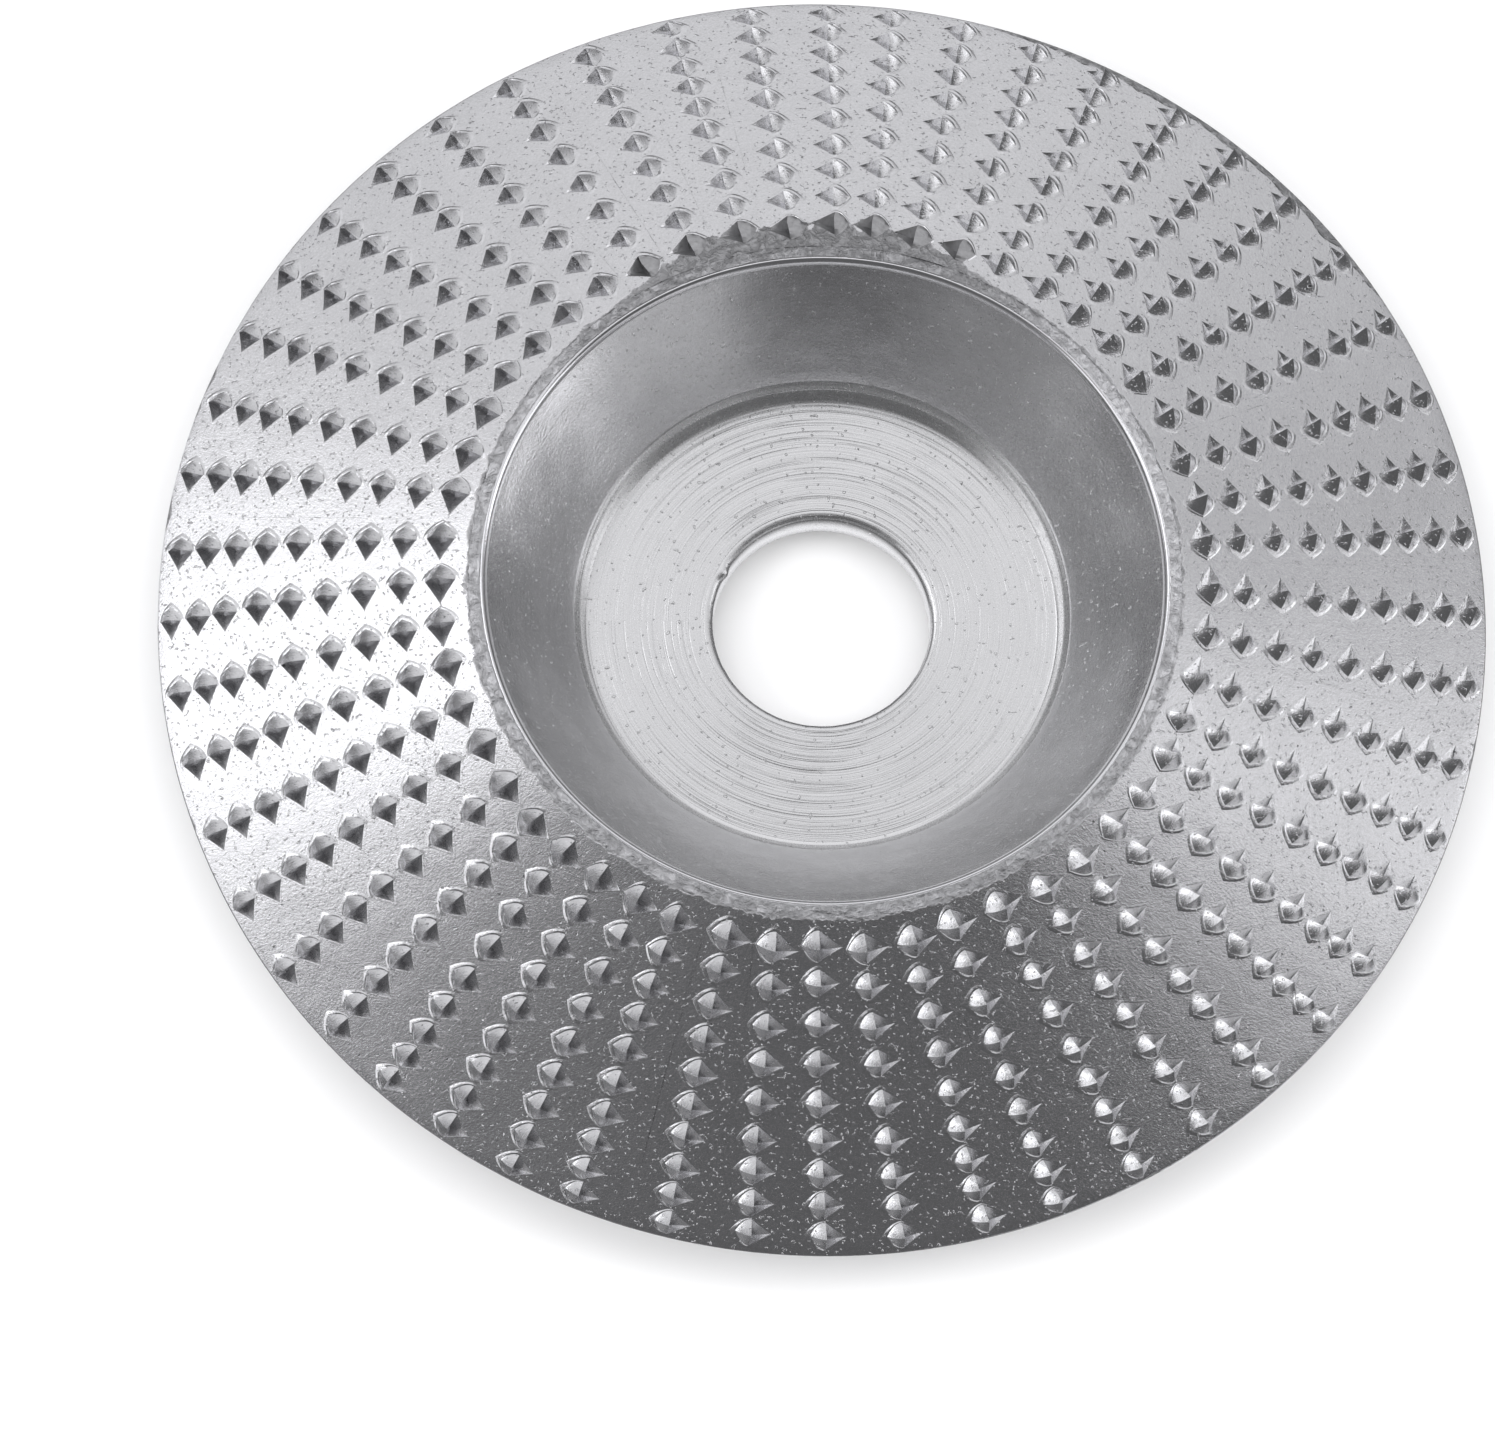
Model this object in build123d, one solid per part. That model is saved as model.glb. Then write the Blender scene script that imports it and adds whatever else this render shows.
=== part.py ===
from build123d import *
import os
from math import atan2, cos, sin, tan

# Angle-grinder carving disc (a stitched rasp disc), lying on its hub.
# Units are millimetres.  +Z is the spindle axis and points out of the toothed
# working face.  The origin is the centre of the hub's flat back face, which
# seats on the grinder's flange and is the lowest plane of the part.
#
# The real disc is one piece of pressed steel.  Each node below is one formed
# zone of it, and neighbouring zones meet face to face.

# ---------------------------------------------------------------- dimensions
SHEET = 3.0             # wall thickness, the same all the way out

BORE_R = 8.1            # clears a 16 mm spindle
BORE_CHAMFER = 0.35
FLOOR_R = 17.55         # turned spot-face for the clamp nut
RECESS_R = 17.9         # mouth of the spot-face recess
RECESS_Z = 4.5
HUB_SPLIT_R = 18.3      # the hub ends here and the dish wall starts

WALL_FOOT_R = 18.6      # end of the small hollow fillet at the foot of the wall
WALL_FOOT_Z = 5.3
MOUTH_R = 24.6          # mouth of the dish
MOUTH_Z = 12.5
BEAD_R = 24.95          # crown of the fine turned bead round the mouth
BEAD_Z = 12.95
CREST_R = 26.1          # outer edge of the turned crest land
CREST_Z = 12.85

RIM_R = 49.0            # outside radius, for a 98 mm disc
RIM_Z = 5.86            # height of the working face at the rim

TOOTH_ROWS = 52         # rows of teeth round the disc
TOOTH_RINGS = 9         # teeth in each row
FIRST_RING_R = 28.0
RING_PITCH = 2.47
FIRST_ROW = 6.5         # angle of row one at mid radius, degrees
ROW_LEAN = 0.06         # degrees the row advances for each mm of radius

TOOTH_HALF_W = 1.02     # half width of a tooth along its row
BURR_LEN = 1.15         # raised back, from heel to front edge
BURR_H = 0.85           # height of the point above the face
BURR_REACH = 0.3        # overhang of the point past the front edge

# ---------------------------------------------------------- derived geometry
FACE_SLOPE = atan2(CREST_Z - RIM_Z, RIM_R - CREST_R)
WALL_SLOPE = atan2(MOUTH_Z - WALL_FOOT_Z, MOUTH_R - WALL_FOOT_R)


def face_z(r):
    """Height of the working face at radius r."""
    return RIM_Z + (RIM_R - r) * tan(FACE_SLOPE)


# The underside runs parallel to the top, one sheet thickness below it.
EDGE = (RIM_R - SHEET * sin(FACE_SLOPE), RIM_Z - SHEET * cos(FACE_SLOPE))
WALL_UNDER = (MOUTH_R + SHEET * sin(WALL_SLOPE), MOUTH_Z - SHEET * cos(WALL_SLOPE))
HEEL_R = WALL_UNDER[0] - WALL_UNDER[1] / tan(WALL_SLOPE)
KNEE_R = ((EDGE[1] + EDGE[0] * tan(FACE_SLOPE) + HEEL_R * tan(WALL_SLOPE))
          / (tan(WALL_SLOPE) + tan(FACE_SLOPE)))
KNEE_Z = (KNEE_R - HEEL_R) * tan(WALL_SLOPE)


# --------------------------------------------------------------- sheet zones
def sheet_profile():
    """Cross-section of the whole pressed sheet, from the bore to the rim."""
    top = Polyline((BORE_R, 0), (BORE_R, SHEET), (FLOOR_R, SHEET), (RECESS_R, RECESS_Z))
    foot = ThreePointArc((RECESS_R, RECESS_Z), (18.28, 4.88), (WALL_FOOT_R, WALL_FOOT_Z))
    wall = Line((WALL_FOOT_R, WALL_FOOT_Z), (MOUTH_R, MOUTH_Z))
    bead = ThreePointArc((MOUTH_R, MOUTH_Z), (MOUTH_R + 0.135, MOUTH_Z + 0.255), (BEAD_R, BEAD_Z))
    face = Polyline((BEAD_R, BEAD_Z), (CREST_R, CREST_Z), (RIM_R, RIM_Z), EDGE)
    under = Polyline(EDGE, (KNEE_R, KNEE_Z), (HEEL_R, 0), (BORE_R, 0))
    profile = make_face(top + foot + wall + bead + face + under)

    def corner(r, z):
        return profile.vertices().sort_by_distance((r, z, 0))[0]

    profile = fillet(corner(HEEL_R, 0), 4.0)
    profile = fillet(corner(KNEE_R, KNEE_Z), 1.2)
    profile = fillet(corner(*EDGE), 0.4)
    profile = fillet(corner(RIM_R, RIM_Z), 0.2)
    profile = chamfer([corner(BORE_R, 0), corner(BORE_R, SHEET)], BORE_CHAMFER)
    return profile


def zone(profile, r_in, r_out):
    """The part of the sheet between two radii, as a body of revolution."""
    band = Pos((r_in + r_out) / 2, 0) * Rectangle(r_out - r_in, 100)
    return revolve(Plane.XZ * (profile & band), Axis.Z, 360)


# --------------------------------------------------------------------- teeth
def faceted(points, faces):
    """Solid with flat faces, each face a list of point indices."""
    skins = [Face(Wire.make_polygon([points[i] for i in f], close=True)) for f in faces]
    return Solid(Shell(skins))


def on_face(r, along_row, ahead, height):
    """Point near the working face, measured from a tooth centre at radius r."""
    return Vector(r + along_row * cos(FACE_SLOPE) + height * sin(FACE_SLOPE),
                  ahead,
                  face_z(r) - along_row * sin(FACE_SLOPE) + height * cos(FACE_SLOPE))


WEDGE = [(0, 2, 1), (0, 1, 3), (1, 2, 3), (2, 0, 3)]


def burr_blank(r):
    """Raised back of one tooth, run down into the sheet below its base."""
    heel = on_face(r, 0, -BURR_LEN, 0)
    outer = on_face(r, TOOTH_HALF_W, 0, 0)
    inner = on_face(r, -TOOTH_HALF_W, 0, 0)
    point = on_face(r, 0, BURR_REACH, BURR_H)
    grow = 1.15
    low = [point + (p - point) * grow for p in (heel, outer, inner)]
    return faceted(low + [point], WEDGE)


def row_angle(row, r):
    return FIRST_ROW + row * 360 / TOOTH_ROWS + (r - 38) * ROW_LEAN


def round_the_disc(tooth, r):
    return [Rot(0, 0, row_angle(row, r)) * tooth for row in range(TOOTH_ROWS)]


# --------------------------------------------------------------------- build
profile = sheet_profile()
nodes = {
    "hub_flange": zone(profile, BORE_R - 1, HUB_SPLIT_R),
    "dish_wall": zone(profile, HUB_SPLIT_R, MOUTH_R),
    "crest_ring": zone(profile, MOUTH_R, CREST_R),
}
plate = zone(profile, CREST_R, RIM_R + 1)
nodes["rasp_plate"] = plate

for ring in range(TOOTH_RINGS):
    r = FIRST_RING_R + ring * RING_PITCH
    burr = burr_blank(r) - plate
    nodes[f"tooth_ring_{ring + 1}"] = Compound(round_the_disc(burr, r))

os.makedirs("parts", exist_ok=True)
for name, shape in nodes.items():
    export_step(shape, f"parts/{name}.step")
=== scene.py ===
import random
from math import asin, atan2, cos, degrees, exp, pi, radians, sin, sqrt, tan

import bpy
from mathutils import Matrix, Vector, noise
from mathutils.geometry import delaunay_2d_cdt


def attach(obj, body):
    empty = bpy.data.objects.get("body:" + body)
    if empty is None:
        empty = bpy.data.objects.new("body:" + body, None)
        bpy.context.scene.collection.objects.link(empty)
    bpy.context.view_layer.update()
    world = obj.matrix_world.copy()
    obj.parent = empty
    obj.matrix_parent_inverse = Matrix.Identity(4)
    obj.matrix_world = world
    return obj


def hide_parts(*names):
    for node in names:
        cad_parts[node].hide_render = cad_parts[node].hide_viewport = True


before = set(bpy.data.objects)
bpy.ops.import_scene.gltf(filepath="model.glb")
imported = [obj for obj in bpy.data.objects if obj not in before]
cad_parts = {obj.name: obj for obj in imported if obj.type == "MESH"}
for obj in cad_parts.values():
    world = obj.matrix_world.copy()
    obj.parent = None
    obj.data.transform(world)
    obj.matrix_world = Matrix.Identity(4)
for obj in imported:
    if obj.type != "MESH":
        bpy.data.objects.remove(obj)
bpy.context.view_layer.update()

MM = 0.001
rnd = random.Random(41)

# ---------------------------------------------------------------- dimensions
# The same sheet profile as the CAD part, in millimetres.
SHEET = 3.0
BORE_R = 8.1
FLOOR_R = 17.55                     # turned spot-face in the hub
RECESS_R, RECESS_Z = 17.9, 4.5      # mouth of the spot-face recess
HUB_TOP = (18.3, 4.90)              # the hub ends here and the dish wall starts
WALL_FOOT_R, WALL_FOOT_Z = 18.6, 5.3
MOUTH_R, MOUTH_Z = 24.6, 12.5
BEAD_R, BEAD_Z = 24.95, 12.95       # crown of the bead round the mouth
CREST_R, CREST_Z = 26.1, 12.85      # outer edge of the turned land
CORNER_R, CORNER_Z = 49.0, 5.86     # corner of the rim before it is rounded
RIM_R, RIM_Z = 48.95, 5.88          # where the working face meets the rounding
HEEL_BEND, CREST_BEND = 4.0, 1.2    # bend radii on the underside
SLOPE = atan2(CREST_Z - CORNER_Z, CORNER_R - CREST_R)
WALL_SLOPE = atan2(MOUTH_Z - WALL_FOOT_Z, MOUTH_R - WALL_FOOT_R)

# Angle of each tooth row in degrees, and how many teeth it has.  The rows
# were punched one by one, so their spacing wanders.
ROWS = [
    (6.5, 9), (13.0, 9), (19.8, 9), (27.4, 9), (34.6, 10), (41.9, 9), (48.5, 9),
    (55.0, 9), (62.4, 9), (69.1, 9), (76.1, 9), (82.7, 9), (88.6, 10), (95.6, 10),
    (103.0, 10), (110.9, 9), (118.8, 8), (126.0, 9), (132.8, 9), (139.7, 9),
    (146.0, 9), (152.7, 9), (160.0, 9), (166.9, 9), (174.3, 9), (180.9, 9),
    (187.8, 9), (194.3, 9), (201.1, 9), (208.0, 9), (215.0, 9), (221.9, 9),
    (228.5, 9), (235.0, 9), (241.6, 9), (247.6, 10), (255.7, 10), (262.7, 9),
    (269.1, 9), (275.8, 9), (283.0, 9), (289.5, 9), (297.0, 9), (303.9, 9),
    (311.0, 9), (318.3, 10), (324.6, 9), (331.9, 9), (338.0, 9), (344.7, 9),
    (352.1, 9), (359.0, 9),
]
MID_R = 38              # the rows' angles hold at this radius
LEAN = 0.055            # degrees a row advances for each mm of radius
INNER_TOOTH_R = 28.0


def face_z(r):
    return RIM_Z + (RIM_R - r) * tan(SLOPE)


def on_cone(r, phi, h=0.0):
    """A point h above the working face, in metres."""
    rr = r + h * sin(SLOPE)
    return Vector((rr * cos(phi), rr * sin(phi), face_z(r) + h * cos(SLOPE))) * MM


def smooth(e0, e1, x):
    t = min(1.0, max(0.0, (x - e0) / (e1 - e0)))
    return t * t * (3 - 2 * t)


def wobble(x, y, z, scale, octaves=3):
    return noise.fractal(Vector((x, y, z)) * scale, 1.0, 2.0, octaves)


def new_object(name, verts, faces, materials, sharp, face_mats=()):
    """A mesh object with its edges sharp above an angle in degrees."""
    mesh = bpy.data.meshes.new(name)
    mesh.from_pydata([tuple(v) for v in verts], [], faces)
    for m in materials:
        mesh.materials.append(m)
    for p, m in zip(mesh.polygons, face_mats):
        p.material_index = m
    mesh.validate()
    mesh.update()
    mesh.shade_smooth()
    mesh.set_sharp_from_angle(angle=radians(sharp))
    obj = bpy.data.objects.new(name, mesh)
    bpy.context.scene.collection.objects.link(obj)
    return obj


# ----------------------------------------------------------------- materials
class Metal:
    """A steel wired from noises of the place on the part, in millimetres."""

    def __init__(self, name):
        self.mat = bpy.data.materials.new(name)
        self.mat.use_nodes = True
        self.tree = self.mat.node_tree
        self.bsdf = self.tree.nodes["Principled BSDF"]
        self.bsdf.inputs["Metallic"].default_value = 1.0
        coord = self.add("ShaderNodeTexCoord")
        scale = self.add("ShaderNodeVectorMath", operation="SCALE")
        scale.inputs["Scale"].default_value = 1 / MM
        self.link(coord.outputs["Object"], scale.inputs[0])
        self.mm = scale.outputs[0]
        split = self.add("ShaderNodeSeparateXYZ")
        self.link(self.mm, split.inputs[0])
        self.x, self.y = split.outputs[0], split.outputs[1]

    def add(self, kind, **settings):
        node = self.tree.nodes.new(kind)
        for key, value in settings.items():
            setattr(node, key, value)
        return node

    def link(self, a, b):
        self.tree.links.new(a, b)

    def feed(self, socket, value):
        if isinstance(value, (int, float)):
            socket.default_value = value
        else:
            self.link(value, socket)

    def math(self, operation, a, b=0.0):
        node = self.add("ShaderNodeMath", operation=operation)
        self.feed(node.inputs[0], a)
        self.feed(node.inputs[1], b)
        return node.outputs[0]

    def times(self, a, b):
        return self.math("MULTIPLY", a, b)

    def plus(self, a, b, k):
        """a and k times b."""
        return self.math("ADD", a, self.times(b, k))

    def vary(self, base, x, amount):
        """base, moved up or down by amount times the distance of x from its middle."""
        return self.plus(base, self.math("SUBTRACT", x, 0.5), amount)

    def mix(self, fac, a, b):
        """a where fac is nought, b where it is one."""
        return self.plus(self.times(a, self.math("SUBTRACT", 1.0, fac)), b, fac)

    def ramp(self, value, low, high):
        node = self.add("ShaderNodeMapRange", interpolation_type="SMOOTHSTEP")
        self.feed(node.inputs["Value"], value)
        node.inputs["From Min"].default_value = low
        node.inputs["From Max"].default_value = high
        return node.outputs["Result"]

    def noise(self, scale, detail=2.0, rough=0.5, vector=None, distortion=0.0):
        node = self.add("ShaderNodeTexNoise")
        node.inputs["Scale"].default_value = scale
        node.inputs["Detail"].default_value = detail
        node.inputs["Roughness"].default_value = rough
        node.inputs["Distortion"].default_value = distortion
        self.link(vector or self.mm, node.inputs["Vector"])
        return node.outputs["Fac"]

    def rings(self, r, scale):
        """Fine concentric lines: a noise of the radius only."""
        node = self.add("ShaderNodeTexNoise", noise_dimensions="1D")
        self.link(r, node.inputs["W"])
        node.inputs["Scale"].default_value = scale
        node.inputs["Detail"].default_value = 3.0
        return node.outputs["Fac"]

    def vector(self, x, y):
        node = self.add("ShaderNodeCombineXYZ")
        self.link(x, node.inputs[0])
        self.link(y, node.inputs[1])
        return node.outputs[0]

    def radius(self):
        return self.math("SQRT", self.math("ADD", self.times(self.x, self.x),
                                           self.times(self.y, self.y)))

    def angle(self):
        return self.math("ARCTAN2", self.y, self.x)

    def towards(self, direction, low, high):
        """One towards a direction in degrees, and nothing far away from it."""
        away = self.math("SUBTRACT", self.angle(), radians(direction))
        return self.ramp(self.math("COSINE", away), low, high)

    def grey(self, value, blue):
        """Base colour: a grey, with its blue times a factor."""
        node = self.add("ShaderNodeCombineColor")
        self.link(value, node.inputs[0])
        self.link(value, node.inputs[1])
        self.link(self.times(value, blue), node.inputs[2])
        self.link(node.outputs[0], self.bsdf.inputs["Base Color"])

    def rough(self, value):
        self.link(value, self.bsdf.inputs["Roughness"])

    def bumps(self, *layers):
        """Each layer is (height 0-1, depth in mm)."""
        normal = None
        for height, depth in layers:
            node = self.add("ShaderNodeBump")
            node.inputs["Strength"].default_value = 1.0
            node.inputs["Distance"].default_value = depth * MM
            self.link(height, node.inputs["Height"])
            if normal is not None:
                self.link(normal, node.inputs["Normal"])
            normal = node.outputs["Normal"]
        self.link(normal, self.bsdf.inputs["Normal"])


TOP = 93                # direction in which the turned land is widest, degrees
# The front of the disc, in degrees: the wall and crest get painted shade towards it.
PAINTED_SHADE_SIDE = -90


def rasp_metal():
    """Bright plated sheet with a fine grain, ground away in a few places."""
    n = Metal("plated_rasp_steel")
    r = n.radius()
    # Eccentric turned land: wider round the top of the disc.
    wide = n.towards(TOP, 0.84, 0.985)
    edge = n.vary(n.plus(CREST_R, wide, 1.8), n.noise(0.9, 3), n.plus(1.0, wide, 1.6))
    land = n.ramp(n.math("SUBTRACT", edge, r), -0.12, 0.1)
    # Ground flats along the rim.
    flats = n.towards(52, 0.9, 0.99)
    edge = n.vary(n.plus(CORNER_R + 0.1, flats, -0.75), n.noise(0.45, 1), 1.3)
    rim = n.ramp(n.math("SUBTRACT", r, edge), -0.05, 0.1)
    worn = n.math("MAXIMUM", land, rim)
    wide = n.times(wide, n.math("SUBTRACT", 1.0, rim))

    grain = n.noise(5.5, 3, 0.7)
    fine = n.noise(14.0, 2, 0.6)
    broad = n.noise(0.32)
    smear = n.ramp(n.noise(1.6, 4, 0.65, distortion=0.8), 0.34, 0.66)
    pits = n.ramp(n.noise(2.7, 1, 0.3), 0.73, 0.82)
    spark = n.ramp(n.noise(3.6, 1, 0.4), 0.66, 0.74)
    tone = n.vary(n.vary(0.80, broad, 0.10), grain, 0.22)
    tone = n.plus(tone, pits, -0.25)
    dull = n.plus(n.mix(rim, 0.48, 0.36), smear, 0.28)
    dull = n.plus(dull, wide, -0.16)
    n.grey(n.mix(worn, tone, dull), 1.012)
    n.rough(n.mix(worn, n.plus(0.13, grain, 0.16), n.plus(0.34, smear, 0.2)))
    n.bumps((broad, 0.03), (grain, 0.017), (fine, 0.006), (spark, 0.035),
            (n.times(smear, worn), 0.05), (worn, -0.05), (pits, -0.02))
    return n.mat


def wall_metal():
    """Smooth dish wall, satin, with faint turning and sparkle; the sparkle spots are bumps brightened
    as a painted glint, and the wall has painted shade towards the front and a painted highlight
    towards the right.
    """
    n = Metal("plated_dish_steel")
    grain = n.noise(4.5, 3, 0.65)
    fine = n.noise(12.0, 2, 0.6)
    broad = n.noise(0.22)
    stain = n.noise(0.9, 4, 0.6, distortion=0.6)
    spots_and_glints = n.ramp(n.noise(3.2, 1, 0.3), 0.70, 0.78)
    tone = n.vary(0.84, stain, 0.16)
    # Painted shade towards the front and a painted highlight towards the right.
    tone = n.plus(tone, n.towards(PAINTED_SHADE_SIDE, 0.1, 0.9), -0.06)
    tone = n.plus(tone, n.towards(3, 0.80, 1.0), 0.10)
    # The spots are real bumps, and their brighter colour is a painted glint.
    n.grey(n.plus(tone, spots_and_glints, 0.12), 1.01)
    n.rough(n.plus(0.17, grain, 0.16))
    n.bumps((broad, 0.06), (n.rings(n.radius(), 5.0), 0.004), (grain, 0.016), (fine, 0.006),
            (spots_and_glints, 0.030))
    return n.mat


def turned_metal():
    """Spot-faced hub: concentric cuts from the lathe tool."""
    n = Metal("turned_hub_steel")
    r = n.radius()
    cuts = n.rings(r, 9.0)
    grain = n.noise(6.0, 2, 0.6)
    stain = n.noise(0.5, 3, 0.55)
    specks = n.ramp(n.noise(2.6, 1, 0.3), 0.70, 0.77)
    sweep = n.vector(n.times(r, 6.5), n.times(n.angle(), 0.8))
    arcs = n.ramp(n.noise(1.0, 2, 0.6, vector=sweep), 0.56, 0.68)
    tone = n.plus(n.vary(0.88, cuts, 0.16), arcs, -0.05)
    n.grey(n.vary(tone, stain, 0.06), 1.0)
    n.rough(n.plus(0.22, grain, 0.12))
    n.bumps((cuts, 0.014), (arcs, -0.012), (grain, 0.006), (specks, 0.045))
    return n.mat


def crest_metal():
    """Bright bead, then the torn, mottled land left by the turning tool, with painted shade towards
    the front and a painted highlight towards the right.
    """
    n = Metal("mottled_crest_steel")
    r = n.radius()
    along = n.vector(n.times(n.angle(), 14.0), n.times(r, 2.2))
    drag = n.noise(1.0, 4, 0.65, vector=along, distortion=0.7)
    smear = n.ramp(n.noise(1.3, 4, 0.65, distortion=0.9), 0.34, 0.66)
    grain = n.noise(6.0, 2, 0.6)
    tone = n.vary(n.plus(0.58, smear, 0.26), drag, 0.70)
    tone = n.plus(tone, n.towards(TOP, 0.55, 0.95), -0.24)
    # Painted shade towards the front and a painted highlight towards the right.
    tone = n.plus(tone, n.towards(PAINTED_SHADE_SIDE, 0.1, 0.9), -0.10)
    tone = n.plus(tone, n.towards(15, 0.70, 1.0), 0.10)
    land = n.ramp(r, BEAD_R + 0.07, BEAD_R + 0.19)
    n.grey(n.mix(land, 0.90, tone), 1.015)
    n.rough(n.mix(land, 0.16, n.plus(0.24, drag, 0.22)))
    n.bumps((n.times(smear, land), 0.06), (n.times(drag, land), 0.10), (grain, 0.006))
    return n.mat


def ground_metal():
    """Tops of teeth cut off by the turning tool."""
    n = Metal("ground_tooth_steel")
    smear = n.noise(2.2, 3, 0.6, distortion=0.5)
    n.grey(n.plus(0.36, smear, 0.34), 1.01)
    n.rough(n.plus(0.30, smear, 0.20))
    n.bumps((smear, 0.06))
    return n.mat


RASP = rasp_metal()
GROUND = ground_metal()
WALL = wall_metal()
TURNED = turned_metal()
CREST = crest_metal()


# ------------------------------------------------------------- toothed sheet
class Sheet:
    """Vertices and faces of the rasp plate, welded as they are made."""

    def __init__(self):
        self.verts, self.faces = [], []
        self.ground = set()         # faces of the teeth that were cut off

    def put(self, r, phi, h=0.0):
        self.verts.append(on_cone(r, phi, h))
        return len(self.verts) - 1

    def bridge(self, col_a, col_b):
        """Quads between two columns, or triangles where they share a vertex."""
        for j in range(len(col_a) - 1):
            quad = [col_a[j], col_b[j], col_b[j + 1], col_a[j + 1]]
            self.faces.append([q for n, q in enumerate(quad) if q not in quad[:n]])


sheet = Sheet()
N_ROW = len(ROWS)
INNER_R, OUTER_R = CREST_R - 0.15, 48.78
EDGE_STEPS = 38         # steps along the boundary between two rows
ARC_STEPS = 6           # steps from one boundary to the next


def row_phi(i, r):
    turns, k = divmod(i, N_ROW)
    return radians(ROWS[k][0] + 360 * turns + (r - MID_R) * LEAN)


def side_phi(i, r):
    """Boundary between row i-1 and row i."""
    a, b = row_phi(i - 1, r), row_phi(i, r)
    return a + 0.57 * (b - a)


edge_r = [INNER_R + (OUTER_R - INNER_R) * k / EDGE_STEPS for k in range(EDGE_STEPS + 1)]
sides = [[sheet.put(r, side_phi(i, r)) for r in edge_r] for i in range(N_ROW)]
outer_loop = []         # vertices round the rim, each with its angle


def tooth_radii(count):
    """Radii of a row's teeth from the inside out, closer together at the rim."""
    top = 47.72 + rnd.uniform(-0.25, 0.28) + (0.3 if count == 10 else 0)
    base = INNER_TOOTH_R + rnd.uniform(-0.25, 0.25)
    gaps = [1.13 - 0.26 * smooth(0.35, 0.95, k / (count - 2)) + rnd.uniform(-0.07, 0.07)
            for k in range(count - 1)]
    unit = (top - base) / sum(gaps)
    radii = [base]
    for g in gaps:
        radii.append(radii[-1] + g * unit)
    return radii


TOOTH_HALF_W = 0.97
BURR_LEN, BURR_H = 1.13, 0.86       # raised back, from heel to edge
PIT_LEN, PIT_DEPTH = 1.52, 0.62     # groove ahead of the edge
POINT_REACH = 0.10      # overhang of the point past the edge
LIP = 0.05              # height of the sheet round the heel
RIDGE_SHIFT = 0.25      # how far the ridge lies towards the rim, of the half width
GROUND_H = 0.24         # height left on the teeth that the turning tool cut
HEEL_STEPS, PIT_STEPS, HALF = 6, 5, 4
BETAS = [j / HALF for j in range(-HALF, HALF + 1)]      # places across a tooth


def off_centre(b):
    """The ridge and the bottom of the groove lie nearer the rim."""
    return b + RIDGE_SHIFT * (1 - abs(b))


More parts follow.
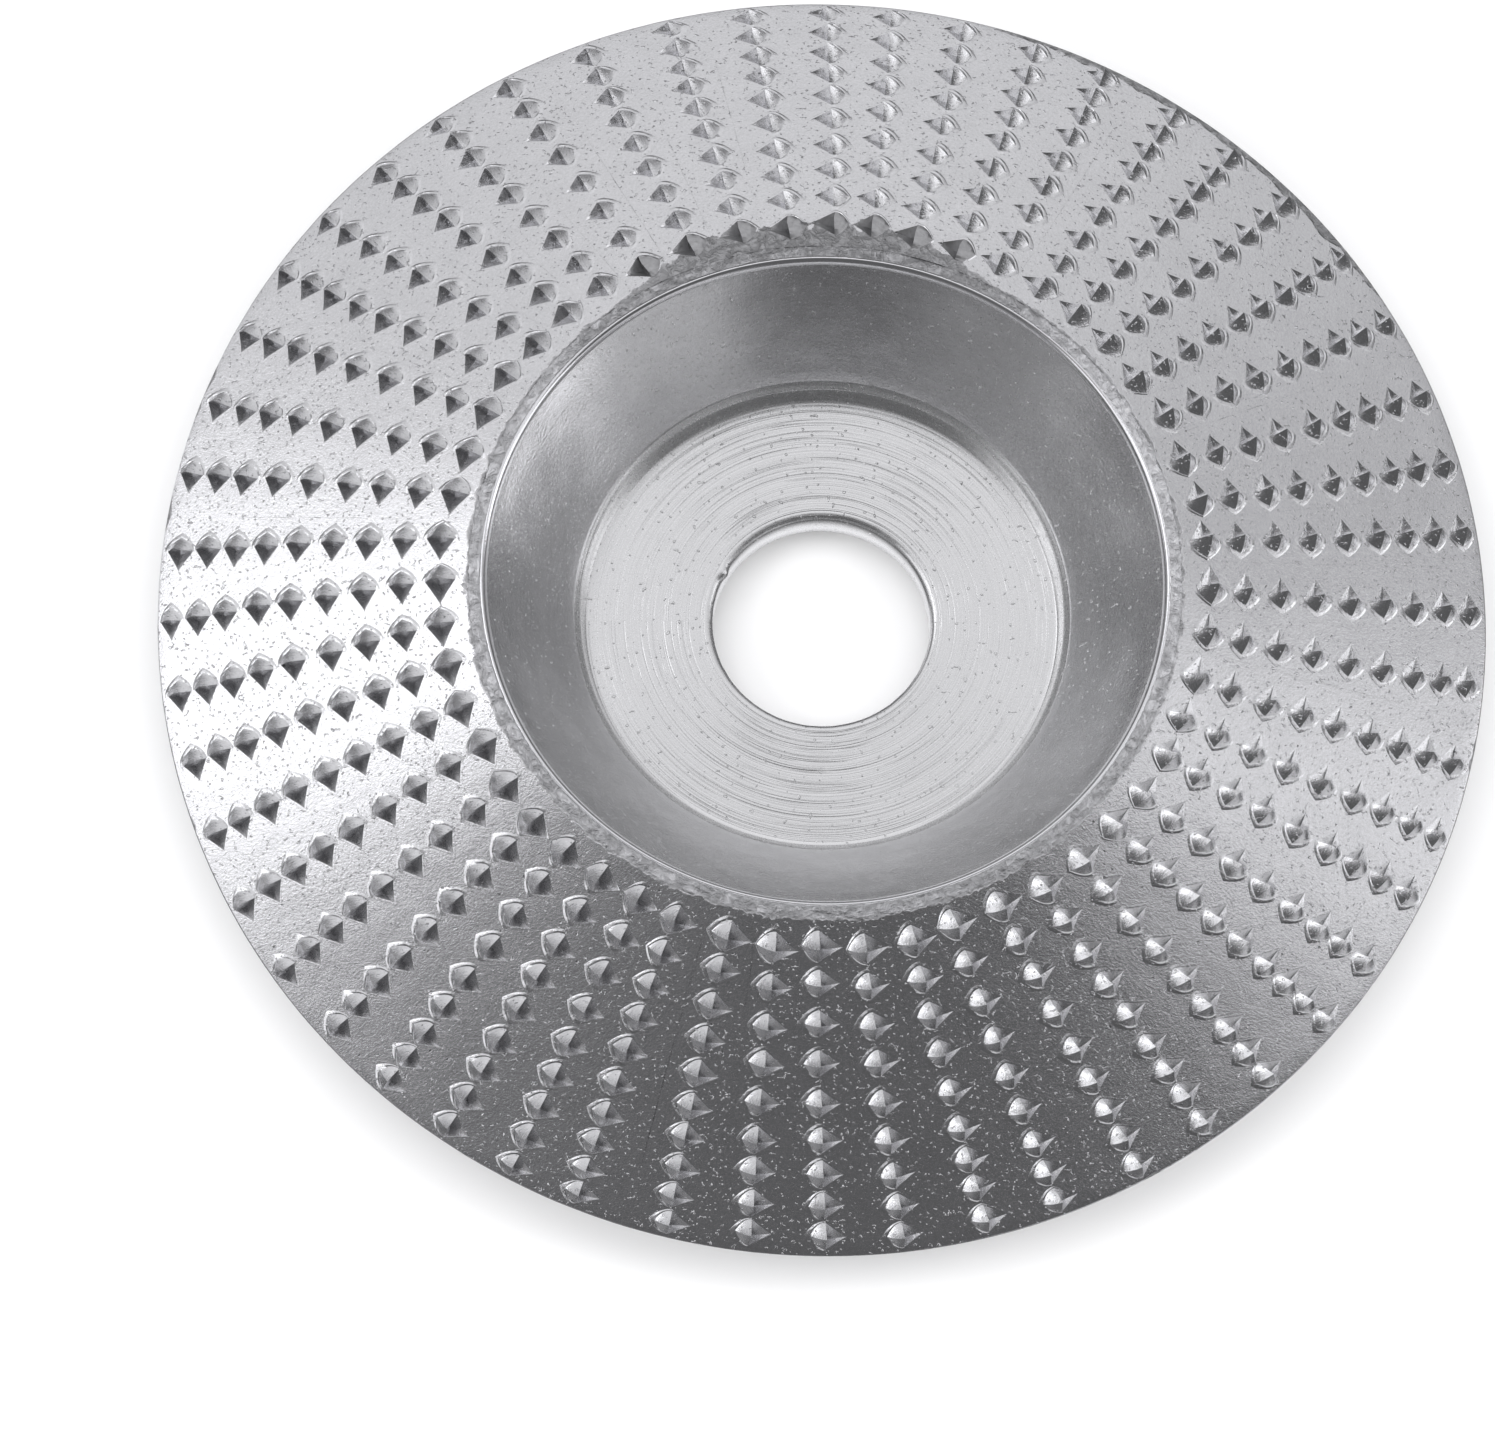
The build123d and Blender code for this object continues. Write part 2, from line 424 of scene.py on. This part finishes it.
class Tooth:
    """One stitched tooth: rounded back, sharp point, and the groove ahead of it.

    A place on it is a, ahead of its edge, and b, out along the row.
    """

    def __init__(self, r0, phi0, pitch_in, pitch_out, room_back, room_ahead):
        self.r0, self.phi0 = r0, phi0
        self.pitch_in, self.pitch_out = pitch_in, pitch_out
        self.room_back, self.room_ahead = room_back, room_ahead
        big = 1.0 + 0.17 * smooth(30.0, INNER_TOOTH_R - 0.5, r0)
        tight = min(pitch_in, pitch_out)
        self.half_w = min(TOOTH_HALF_W * big, 0.455 * tight) * rnd.uniform(0.95, 1.03)
        self.back = min(BURR_LEN * big, room_back - 0.12) * rnd.uniform(0.95, 1.02)
        self.ahead = min(PIT_LEN * big, room_ahead - 0.10) * rnd.uniform(0.95, 1.02)
        self.high = BURR_H * rnd.uniform(0.9, 1.1) * (self.half_w / 0.95)
        self.deep = PIT_DEPTH * rnd.uniform(0.9, 1.1) * (self.half_w / 0.95)
        self.reach = POINT_REACH * rnd.uniform(0.6, 1.4)
        self.skew = rnd.uniform(-0.05, 0.05)
        self.sliced = r0 < 29.3 and 66 < degrees(phi0) % 360 < 122

    def spot(self, a, b, h):
        """Radius, angle and height of a place on the tooth."""
        if self.sliced:
            h = min(h, GROUND_H)
        rr = self.r0 + (b + self.skew * a) * cos(SLOPE)
        return rr, self.phi0 + a / rr, h

    def put(self, a, b, h):
        return sheet.put(*self.spot(a, b, h))

    def build(self):
        """Its faces.  Returns the loop of (vertex, a, b) where it joins the sheet."""
        first_face = len(sheet.faces)
        heel = self.put(-self.back, 0.0, LIP)
        sections = []               # (a, half width there, column of vertices)
        column = [heel] * len(BETAS)
        for k in range(1, HEEL_STEPS + 1):
            t = k / HEEL_STEPS
            a, w = -self.back * (1 - t), self.half_w * (1 - (1 - t) ** 2.1)
            ridge = self.high * t ** 1.05
            previous, column = column, []
            for b in BETAS:
                side = 1 - abs(b)
                h = ridge * side + LIP * (1 - t) * abs(b)
                column.append(self.put(a + self.reach * t * t * side, off_centre(b) * w, h))
            sheet.bridge(previous, column)
            sections.append((a, w, column))

        # Front face, from the sharp edge down to the bottom of the groove.
        bottom = [column[0]]
        for b in BETAS[1:-1]:
            side = 1 - abs(b)
            bottom.append(self.put(0.03 * side, off_centre(b) * self.half_w, -self.deep * side))
        bottom.append(column[-1])
        sheet.bridge(column, bottom)

        column = bottom
        for k in range(1, PIT_STEPS):
            t = k / PIT_STEPS
            narrow = (1 - t) ** 1.1
            a, w = self.ahead * t, self.half_w * narrow
            previous, column = column, []
            for b in BETAS:
                column.append(self.put(a, off_centre(b) * w, -self.deep * (1 - abs(b)) * narrow))
            sheet.bridge(previous, column)
            sections.append((a, w, column))
        tip = self.put(self.ahead, 0.0, 0.0)
        if self.sliced:
            sheet.ground.update(range(first_face, len(sheet.faces)))
        sheet.bridge(column, [tip] * len(BETAS))

        # Anticlockwise, seen from above the face.
        return ([(heel, -self.back, 0)] + [(col[-1], a, w) for a, w, col in sections]
                + [(tip, self.ahead, 0)] + [(col[0], a, -w) for a, w, col in reversed(sections)])

    def skirt(self, loop):
        """Two swelling rings carry the raised metal out to the plain sheet.
        Returns the outer ring, and the place of each of its vertices."""
        grow_back = min(0.42, self.room_back - self.back - 0.03) / self.back
        grow_ahead = min(0.35, self.room_ahead - self.ahead - 0.03) / self.ahead
        ring = [v for v, _, _ in loop]
        for share, swell in ((0.42, 0.05), (1.0, 0.0)):
            places = []
            for _, a, b in loop:
                room = self.pitch_out if b > 0 else self.pitch_in
                grow_b = max(0.02, min(0.30, (room / 2 - 0.03) / self.half_w - 1))
                lengthen, rise = (grow_back, swell) if a < 0 else (grow_ahead, 0.1 * swell)
                places.append(self.spot(a * (1 + share * lengthen), b * (1 + share * grow_b), rise))
            new = [sheet.put(*place) for place in places]
            for k in range(len(ring)):
                m = (k + 1) % len(ring)
                sheet.faces.append([ring[k], ring[m], new[m], new[k]])
            ring = new
        return ring, places


def inside(u, v, poly):
    hit = False
    for (x0, y0), (x1, y1) in zip(poly, poly[1:] + poly[:1]):
        if (y0 > v) != (y1 > v) and u < (x1 - x0) * (v - y0) / (y1 - y0) + x0:
            hit = not hit
    return hit


def fill_row(i):
    """The teeth of one row, and the plain sheet between them as triangles."""
    middle = row_phi(i, MID_R)
    points, index, edges, holes = [], [], [], []

    def add_point(idx, r, phi):
        points.append(Vector(((phi - middle) * MID_R, r)))
        index.append(idx)

    def arc(r, start):
        """Vertices from this row's boundary towards the next, with their angles."""
        loop = [(start, side_phi(i, r))]
        for k in range(1, ARC_STEPS):
            phi = side_phi(i, r) + (side_phi(i + 1, r) - side_phi(i, r)) * k / ARC_STEPS
            loop.append((sheet.put(r, phi), phi))
            add_point(loop[-1][0], r, phi)
        return loop

    left, right = sides[i], sides[(i + 1) % N_ROW]
    for k, r in enumerate(edge_r):
        add_point(left[k], r, side_phi(i, r))
    for k, r in enumerate(edge_r):
        add_point(right[k], r, side_phi(i + 1, r))
    arc(INNER_R, left[0])
    outer_loop.extend(arc(OUTER_R, left[-1]))

    count = ROWS[i][1]
    radii = tooth_radii(count)
    for k, r0 in enumerate(radii):
        phi0 = row_phi(i, r0) + rnd.uniform(-0.05, 0.05) / r0
        p_in = r0 - radii[k - 1] if k else 2 * (r0 - INNER_R) - 0.1
        p_out = radii[k + 1] - r0 if k < count - 1 else 2 * (OUTER_R - r0) - 0.02
        tooth = Tooth(r0, phi0, p_in / cos(SLOPE), p_out / cos(SLOPE),
                      (phi0 - side_phi(i, r0)) * r0, (side_phi(i + 1, r0) - phi0) * r0)
        ring, places = tooth.skirt(tooth.build())
        first = len(points)
        for idx, (r, phi, _) in zip(ring, places):
            add_point(idx, r, phi)
        n_ring = len(ring)
        edges += [(first + m, first + (m + 1) % n_ring) for m in range(n_ring)]
        holes.append([tuple(p) for p in points[first:]])

    flat, _, triangles, sources = delaunay_2d_cdt(points, edges, [], 0, 1e-6)[:4]
    origin = {}
    for k, olds in enumerate(sources):
        if olds:
            origin[k] = index[olds[0]]
        else:
            origin[k] = sheet.put(flat[k][1], middle + flat[k][0] / MID_R)
    for tri in triangles:
        c = sum((flat[k] for k in tri), Vector((0, 0))) / len(tri)
        if any(inside(c[0], c[1], hole) for hole in holes):
            continue
        corners = [origin[k] for k in tri]
        if len(set(corners)) < 3:
            continue
        a, b, d = (sheet.verts[k] for k in corners)
        normal = (b - a).cross(d - a)
        if normal.length < 1e-12:
            continue
        sheet.faces.append(corners if normal.z > 0 else corners[::-1])


for i in range(N_ROW):
    fill_row(i)

# ---------------------------------------------------------- rim and underside
EDGE_R, EDGE_Z = RIM_R - SHEET * sin(SLOPE), RIM_Z - SHEET * cos(SLOPE)
WALL_UNDER = (MOUTH_R + SHEET * sin(WALL_SLOPE), MOUTH_Z - SHEET * cos(WALL_SLOPE))
HEEL_R = WALL_UNDER[0] - WALL_UNDER[1] / tan(WALL_SLOPE)
HEEL_START = HEEL_R - HEEL_BEND * tan(WALL_SLOPE / 2)


def around(profile, loop):
    """Carry the outer edge on through (r, z) points, all the way round."""
    previous = [v for v, _ in loop]
    for r, z in profile:
        new = []
        for _, phi in loop:
            jog = 0.012 * wobble(cos(phi) * CORNER_R, sin(phi) * CORNER_R, z, 0.5)
            new.append(len(sheet.verts))
            sheet.verts.append(Vector(((r + jog) * cos(phi), (r + jog) * sin(phi), z)) * MM)
        n = len(loop)
        for k in range(n):
            m = (k + 1) % n
            sheet.faces.append([previous[k], new[k], new[m], previous[m]])
        previous = new


def under_wall(r):
    return (r - HEEL_R) * tan(WALL_SLOPE)


def under_plate(r):
    return EDGE_Z + (EDGE_R - r) * tan(SLOPE)


def under_heel(turn):
    """Outside of the bend between hub and wall, turn degrees on from the hub."""
    t = radians(turn)
    return HEEL_START + HEEL_BEND * sin(t), HEEL_BEND * (1 - cos(t))


# Where the undersides of plate and wall would meet, and the bend's centre.
KNEE_R = ((EDGE_Z + EDGE_R * tan(SLOPE) + HEEL_R * tan(WALL_SLOPE))
          / (tan(WALL_SLOPE) + tan(SLOPE)))
bend_back = CREST_BEND * tan((WALL_SLOPE + SLOPE) / 2)
bend_r = KNEE_R + bend_back * cos(SLOPE) - CREST_BEND * sin(SLOPE)
bend_z = under_plate(KNEE_R) - bend_back * sin(SLOPE) - CREST_BEND * cos(SLOPE)


def under_bend(angle):
    """Inside of the bend under the crest, at an angle above the outward direction."""
    return bend_r + CREST_BEND * cos(radians(angle)), bend_z + CREST_BEND * sin(radians(angle))


SEAM = (CREST_R, bend_z + sqrt(CREST_BEND ** 2 - (bend_r - CREST_R) ** 2))
HUB_UNDER = under_heel(degrees(asin((HUB_TOP[0] - HEEL_START) / HEEL_BEND)))
PLATE_TANGENT, WALL_TANGENT = degrees(pi / 2 - SLOPE), degrees(pi / 2 + WALL_SLOPE)

rim = [(RIM_R - 0.06, face_z(RIM_R - 0.06) - 0.01), (RIM_R, RIM_Z - 0.07),
       (RIM_R - 0.03, RIM_Z - 0.2), (RIM_R - 0.42, RIM_Z - 1.5), (EDGE_R + 0.12, EDGE_Z + 0.42),
       (EDGE_R + 0.02, EDGE_Z + 0.18), (EDGE_R - 0.12, EDGE_Z + 0.05)]
underside = [(r, under_plate(r)) for r in (EDGE_R - 0.5, 44.0, 38.0, 32.0, 28.5)]
underside += [under_bend(PLATE_TANGENT), under_bend(90), SEAM]
around(rim + underside, outer_loop)
rasp = new_object("rasp_plate_stitched", sheet.verts, sheet.faces, [RASP, GROUND], 22,
                  [int(k in sheet.ground) for k in range(len(sheet.faces))])


# --------------------------------------------------------- turned rings, wall
def lathe(name, profile, segments, material, sharp, shape=None):
    """Revolve (r, z) points; shape(r, z, phi) may move them a little."""
    verts, faces = [], []
    for k in range(segments):
        phi = 2 * pi * k / segments
        for r, z in profile:
            rr, zz = shape(r, z, phi) if shape else (r, z)
            verts.append(Vector((rr * cos(phi), rr * sin(phi), zz)) * MM)
    n = len(profile)
    for k in range(segments):
        m = (k + 1) % segments
        for j in range(n - 1):
            faces.append([k * n + j, m * n + j, m * n + j + 1, k * n + j + 1])
    return new_object(name, verts, faces, [material], sharp)


def between(p, q, steps):
    return [(p[0] + (q[0] - p[0]) * k / steps, p[1] + (q[1] - p[1]) * k / steps)
            for k in range(1, steps + 1)]


# Hub: back face, bore with eased edges, grooved spot-face, recess wall.
BORE_EDGE = BORE_R + 0.5


def turned_grooves():
    """Tool marks across the spot-face, of uneven pitch and depth."""
    groove = random.Random(7)
    points = []
    r = BORE_EDGE
    while r < FLOOR_R - 0.35:
        step = 0.055 + 0.035 * groove.random()
        depth = 0.002 + 0.006 * groove.random() ** 2 + (0.010 if groove.random() < 0.07 else 0)
        points += [(r + step * 0.5, SHEET - depth), (r + step, SHEET)]
        r += step
    return points


def hub_shape(r, z, phi):
    """A burr stands at one place on the bore's edge, and the edge is uneven."""
    near = smooth(BORE_R + 0.9, BORE_R, r) if z > 2 else 0.0
    from_burr = (degrees(phi) - 152 + 180) % 360 - 180
    burr = near * exp(-(from_burr / 3.2) ** 2)
    return (r - 0.22 * burr + near * 0.02 * wobble(cos(phi), sin(phi), 0, 9),
            z + 0.10 * burr + 0.004 * near * wobble(cos(phi), sin(phi), 3, 14))


hub_profile = [HUB_UNDER, under_heel(25), under_heel(12.5), (HEEL_START, 0.0), (12.0, 0.0),
               (BORE_R + 0.35, 0.0), (BORE_R + 0.12, 0.09), (BORE_R, 0.35), (BORE_R, 1.5),
               (BORE_R, SHEET - 0.42), (BORE_R + 0.1, SHEET - 0.16),
               (BORE_R + 0.3, SHEET - 0.03), (BORE_EDGE, SHEET)]
hub_profile += turned_grooves()
hub_profile += [(FLOOR_R - 0.2, SHEET), (FLOOR_R - 0.06, SHEET + 0.05), (FLOOR_R, SHEET + 0.2),
                (FLOOR_R + 0.15, SHEET + 0.8), (RECESS_R - 0.03, RECESS_Z - 0.10),
                (RECESS_R + 0.01, RECESS_Z), (18.1, 4.69), HUB_TOP]
hub = lathe("hub_turned", hub_profile, 256, TURNED, 40, hub_shape)


# Dish wall: underside, then the foot and the top surface.
def wall_shape(r, z, phi):
    """The pressed wall is not quite round on top."""
    if not 19.2 <= r <= 24.3 or z < under_wall(r) + 1:
        return r, z
    soft = smooth(19.2, 20.5, r) * (1 - smooth(23.6, 24.4, r))
    d = 0.05 * soft * wobble(cos(phi) * r, sin(phi) * r, z, 0.11)
    return r - d * sin(WALL_SLOPE), z + d * cos(WALL_SLOPE)


foot = (WALL_FOOT_R + 0.02, WALL_FOOT_Z + 0.02)
wall_profile = [(r, under_wall(r)) for r in (MOUTH_R, 22.5, 20.6)]
wall_profile += [under_heel(50.2), under_heel(37.5), HUB_UNDER, HUB_TOP, (18.45, 5.08), foot]
wall_profile += between(foot, (MOUTH_R, MOUTH_Z), 20)
wall = lathe("dish_wall_pressed", wall_profile, 384, WALL, 45, wall_shape)


# Crest: fine bead round the mouth, then the torn land, then the bend's underside.
def crest_shape(r, z, phi):
    if r < BEAD_R + 0.16 or r > CREST_R + 0.02:
        return r, z
    x, y = cos(phi) * r, sin(phi) * r
    rough = 0.06 * wobble(x, y, 0, 1.1, 4) + 0.025 * wobble(x, y, 5, 3.5, 3)
    return r, z + rough * smooth(BEAD_R + 0.1, BEAD_R + 0.4, r)


bead_end = (BEAD_R + 0.13, BEAD_Z - 0.05)
crest_profile = [(MOUTH_R - 0.02, MOUTH_Z - 0.02), (MOUTH_R + 0.05, MOUTH_Z + 0.14),
                 (MOUTH_R + 0.13, MOUTH_Z + 0.28), (MOUTH_R + 0.24, MOUTH_Z + 0.40),
                 (BEAD_R, BEAD_Z), (BEAD_R + 0.06, BEAD_Z), bead_end]
crest_profile += between(bead_end, (CREST_R - 0.1, CREST_Z + 0.02), 9)
crest_profile += [(CREST_R + 0.05, CREST_Z - 0.02), (CREST_R + 0.12, CREST_Z - 0.10)]
crest = lathe("crest_turned", crest_profile, 900, CREST, 45, crest_shape)

bend_profile = [SEAM, under_bend((WALL_TANGENT + 100) / 2), under_bend(WALL_TANGENT),
                (MOUTH_R, under_wall(MOUTH_R))]
under_crest = lathe("crest_underside", bend_profile, 256, WALL, 60)

for piece, nodes, slot in (
        (rasp, ["rasp_plate"] + [f"tooth_ring_{k}" for k in range(1, 10)], "plated_steel"),
        (hub, ["hub_flange"], "turned_steel"),
        (wall, ["dish_wall"], "plated_steel"),
        (crest, ["crest_ring"], "turned_steel"),
        (under_crest, ["crest_ring"], "turned_steel")):
    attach(piece, "root")
    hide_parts(*nodes)

# --------------------------------------------------------- floor and lighting
FLOOR_HALF = 3                      # metres
FLOOR_DROP = 0.02 * MM              # the floor is a hair below the hub
floor_corners = [(x * FLOOR_HALF, y * FLOOR_HALF, 0) for x, y in ((-1, -1), (1, -1), (1, 1), (-1, 1))]
floor_mesh = bpy.data.meshes.new("floor")
floor_mesh.from_pydata(floor_corners, [], [(0, 1, 2, 3)])
floor = bpy.data.objects.new("floor", floor_mesh)
bpy.context.scene.collection.objects.link(floor)
floor.location.z = -FLOOR_DROP
floor.visible_glossy = False        # the metal mirrors the studio, not the table
pale = bpy.data.materials.new("pale_floor")
pale.use_nodes = True
pale_inputs = pale.node_tree.nodes["Principled BSDF"].inputs
pale_inputs["Base Color"].default_value = (0.93, 0.93, 0.93, 1)
pale_inputs["Roughness"].default_value = 0.9
pale_inputs["Specular IOR Level"].default_value = 0.1
floor_mesh.materials.append(pale)


def lamp(name, place, aim, size, power):
    """A soft area lamp that the metal doesn't mirror."""
    data = bpy.data.lights.new(name, "AREA")
    data.shape = "RECTANGLE"
    data.size, data.size_y = size
    data.energy = power
    obj = bpy.data.objects.new(name, data)
    bpy.context.scene.collection.objects.link(obj)
    obj.location = place
    obj.rotation_euler = (Vector(aim) - Vector(place)).to_track_quat("-Z", "Y").to_euler()
    obj.visible_glossy = False


lamp("overhead", (0.0, 0.0, 0.9), (0, 0, 0), (1.4, 1.4), 7.0)
lamp("fill_front", (0.0, -0.75, 0.22), (0, -0.03, 0), (1.3, 0.4), 5.0)
lamp("fill_left", (-0.75, -0.15, 0.22), (-0.03, 0, 0), (0.4, 1.0), 4.0)
lamp("fill_right", (0.75, 0.0, 0.22), (0.03, 0, 0), (0.4, 1.0), 3.0)

# Studio surround, which the metal mirrors: pale ceiling behind, dark room
# behind the camera, and a white soft box on each side.
world = bpy.data.worlds.new("studio")
bpy.context.scene.world = world
world.use_nodes = True
wt = world.node_tree
for node in list(wt.nodes):
    wt.nodes.remove(node)


def w_math(operation, a, b=0.0):
    node = wt.nodes.new("ShaderNodeMath")
    node.operation = operation
    for socket, value in zip(node.inputs, (a, b)):
        if isinstance(value, (int, float)):
            socket.default_value = value
        else:
            wt.links.new(value, socket)
    return node.outputs[0]


def w_times(first, *others):
    for other in others:
        first = w_math("MULTIPLY", first, other)
    return first


def w_plus(a, b, k):
    """a and k times b."""
    return w_math("ADD", a, w_times(b, k))


def w_not(value):
    return w_math("SUBTRACT", 1.0, value)


def w_step(value, low, high):
    node = wt.nodes.new("ShaderNodeMapRange")
    node.interpolation_type = "SMOOTHSTEP"
    wt.links.new(value, node.inputs["Value"])
    node.inputs["From Min"].default_value = low
    node.inputs["From Max"].default_value = high
    return node.outputs["Result"]


def w_between(value, low, high, soft):
    """One between low and high, with soft ends."""
    return w_times(w_step(value, low - soft, low + soft),
                   w_not(w_step(value, high - soft, high + soft)))


w_coord = wt.nodes.new("ShaderNodeTexCoord")
w_split = wt.nodes.new("ShaderNodeSeparateXYZ")
wt.links.new(w_coord.outputs["Generated"], w_split.inputs[0])
DX, DY, DZ = w_split.outputs
LEFTWARDS = w_times(DX, -1.0)
SIDEWAYS = w_math("ABSOLUTE", DX)


def overhead_box(x0, x1, y0, y1, soft):
    """A glowing rectangle overhead, in the x and y of the direction."""
    return w_times(w_between(DX, x0, x1, soft), w_between(DY, y0, y1, soft),
                   w_step(DZ, 0.25, 0.35))


# The pale ceiling is brightest in the middle and ends above a dark back wall.
# It is not as wide as it is deep.
middle = w_times(w_step(DY, 0.30, 0.60), w_not(w_step(SIDEWAYS, 0.10, 0.50)))
dark_right = w_step(DX, 0.30, 0.55)
dark_back = w_times(w_step(DY, 0.35, 0.75), w_not(w_step(DZ, 0.20, 0.48)))
dark_sides = w_times(w_step(SIDEWAYS, 0.62, 0.76), w_step(DY, 0.16, 0.30))
sky = w_plus(0.105, w_step(DY, -0.10, 0.22), 0.59)
sky = w_plus(sky, middle, 0.09)
for darker, share in ((dark_right, 0.20), (dark_back, 0.74), (dark_sides, 0.60)):
    sky = w_times(sky, w_not(w_times(darker, share)))
sky = w_plus(sky, overhead_box(-0.68, -0.42, 0.04, 0.42, 0.05), 1.35)
sky = w_plus(sky, overhead_box(-0.60, -0.22, -0.24, 0.04, 0.07), 0.14)
sky = w_plus(sky, overhead_box(0.39, 0.68, -0.09, 0.12, 0.055), 0.85)
sky = w_plus(sky, overhead_box(-0.22, 0.26, 0.31, 0.60, 0.07), 0.15)
# A tall soft box on each side, seen only by the steep faces of the teeth.
left_box = w_times(w_step(LEFTWARDS, 0.60, 0.72), w_between(DY, -0.45, 0.10, 0.10),
                   w_step(DZ, 0.15, 0.35))
right_box = w_times(w_step(w_plus(DX, DY, 0.35), 0.68, 0.78), w_between(DY, -0.48, 0.22, 0.07),
                    w_step(DZ, -0.12, -0.02))
sky = w_plus(sky, left_box, 0.95)
# Below the table: dim, with a bright card on the left and a white floor far down.
card = w_times(w_step(LEFTWARDS, 0.45, 0.65), w_step(DY, 0.1, 0.4))
below = w_plus(w_plus(0.15, card, 0.70), w_not(w_step(DZ, -0.92, -0.76)), 0.85)
under = w_not(w_step(DZ, -0.06, 0.02))
sky = w_plus(w_times(sky, w_not(under)), below, under)
sky = w_plus(sky, right_box, 1.10)
# A low glow in front, stronger on the right.
low = w_times(w_not(w_step(DZ, 0.1, 0.5)), w_step(DZ, -0.5, -0.2))
front = w_not(w_step(DY, -0.45, -0.30))
for aside, level in ((DX, 0.52), (LEFTWARDS, 0.14)):
    sky = w_plus(sky, w_times(w_step(aside, 0.22, 0.55), low, front), level)

w_colour = wt.nodes.new("ShaderNodeCombineColor")
wt.links.new(sky, w_colour.inputs[0])
wt.links.new(sky, w_colour.inputs[1])
wt.links.new(w_times(sky, 1.03), w_colour.inputs[2])
w_back = wt.nodes.new("ShaderNodeBackground")
w_out = wt.nodes.new("ShaderNodeOutputWorld")
wt.links.new(w_colour.outputs[0], w_back.inputs["Color"])
wt.links.new(w_back.outputs[0], w_out.inputs["Surface"])

scene = bpy.context.scene
scene.view_settings.view_transform = "Standard"
scene.view_settings.look = "None"

# -------------------------------------------------------------------- camera
# Long lens, looking down on the disc from its front with a slight roll.
LENS, SENSOR = 144.48, 36.0
CLIP_START, CLIP_END = 0.01, 20.0
right = Vector((0.99987, -0.00522, 0.01555)).normalized()
back = Vector((-0.01640, -0.31832, 0.94784))
back = (back - right * back.dot(right)).normalized()
up = back.cross(right)
cam_data = bpy.data.cameras.new("camera")
cam_data.lens = LENS
cam_data.sensor_width = SENSOR
cam_data.clip_start, cam_data.clip_end = CLIP_START, CLIP_END
cam = bpy.data.objects.new("camera", cam_data)
scene.collection.objects.link(cam)
hub_seen = Vector((5.5039, 7.7123, -445.08)) * MM       # hub centre from the lens
place = Vector((0, 0, SHEET * MM)) - (right * hub_seen.x + up * hub_seen.y + back * hub_seen.z)
turn = Matrix((right, up, back)).transposed().to_4x4()
cam.matrix_world = Matrix.Translation(place) @ turn
scene.camera = cam
